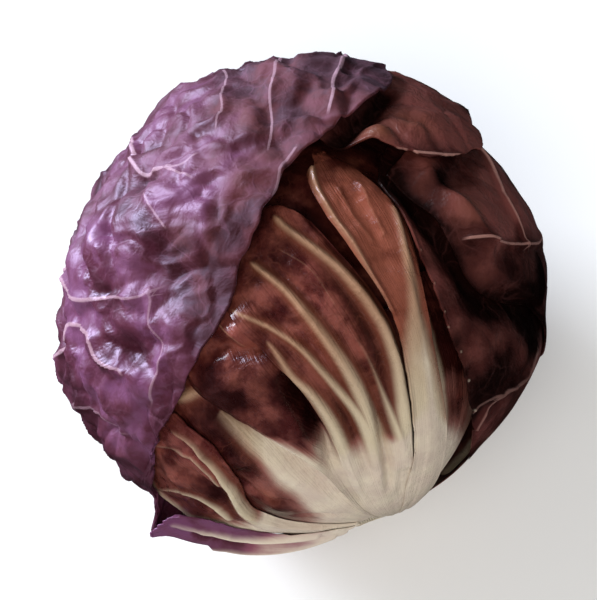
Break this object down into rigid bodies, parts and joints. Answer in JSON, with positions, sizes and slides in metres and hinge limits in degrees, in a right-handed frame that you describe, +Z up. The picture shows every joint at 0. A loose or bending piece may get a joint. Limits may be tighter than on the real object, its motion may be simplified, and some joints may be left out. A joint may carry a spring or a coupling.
{
  "type": "radicchio head",
  "caption": "Round head of radicchio with dark red leaves, pale ribs and a cut stalk, lying on its side on a small flat spot.",
  "frame": {"origin": "on the surface that the head lies on, under the middle of its bounding box", "axes": "+Z up from the surface; the crown points towards +Y, -X and up, and the cut stalk towards -Y, +X and down"},
  "size_m": [0.1282, 0.1242, 0.1234],
  "materials": {
    "waxy_leaf": "satin",
    "wrapper_leaf": "satin",
    "inner_leaf": "satin",
    "stalk": "satin"
  },
  "bodies": {
    "root": {"left_wrapper_leaf": "waxy_leaf", "back_wrapper_leaf": "wrapper_leaf", "crown_wrapper_leaf": "wrapper_leaf", "shoulder_wrapper_leaf": "wrapper_leaf", "right_wrapper_leaf": "wrapper_leaf", "low_wrapper_leaf": "wrapper_leaf", "folded_leaf": "inner_leaf", "ribbed_leaf": "inner_leaf", "glossy_leaf": "inner_leaf", "shaded_leaf": "inner_leaf", "ridged_leaf": "inner_leaf", "frilled_leaf": "waxy_leaf", "sheltered_leaf": "inner_leaf", "left_backing_leaf": "inner_leaf", "back_backing_leaf": "inner_leaf", "heart": "inner_leaf", "cut_stalk": "stalk"}
  },
  "joints": []
}
